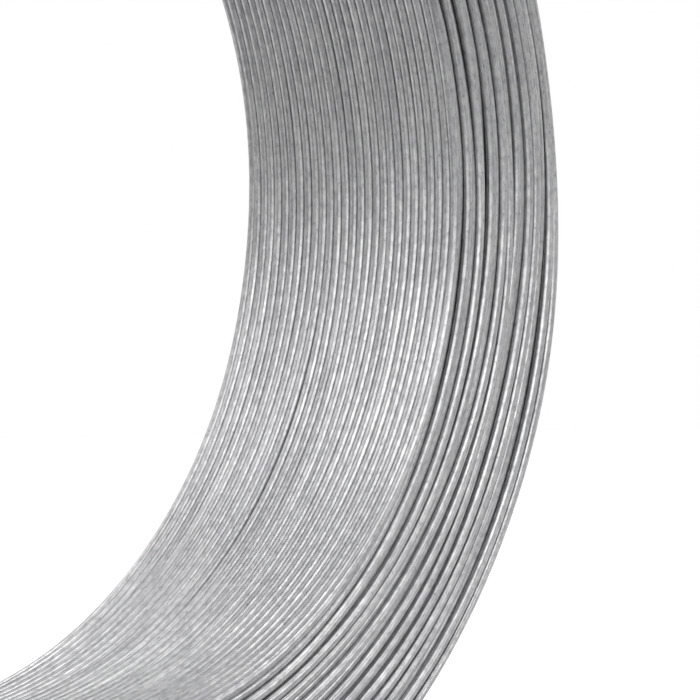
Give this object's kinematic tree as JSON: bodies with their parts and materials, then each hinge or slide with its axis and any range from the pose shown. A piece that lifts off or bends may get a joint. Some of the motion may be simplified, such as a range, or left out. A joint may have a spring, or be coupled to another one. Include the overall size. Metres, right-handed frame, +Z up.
{
  "type": "coil of tension wire",
  "caption": "Wound coil of galvanised steel tension wire: a flat-ended ring of close round turns with an open bore, wire to be drawn off for fences and trellises.",
  "frame": {"origin": "on the ground under the middle of the coil, where its rim stands", "axes": "+Y along the coil's axis, +Z up across the ring"},
  "size_m": [0.2608, 0.056, 0.2608],
  "materials": {
    "galvanised_wire": "galvanised, satin, with fine drawn streaks"
  },
  "bodies": {
    "root": {"wire_coil": "galvanised_wire"}
  },
  "joints": []
}
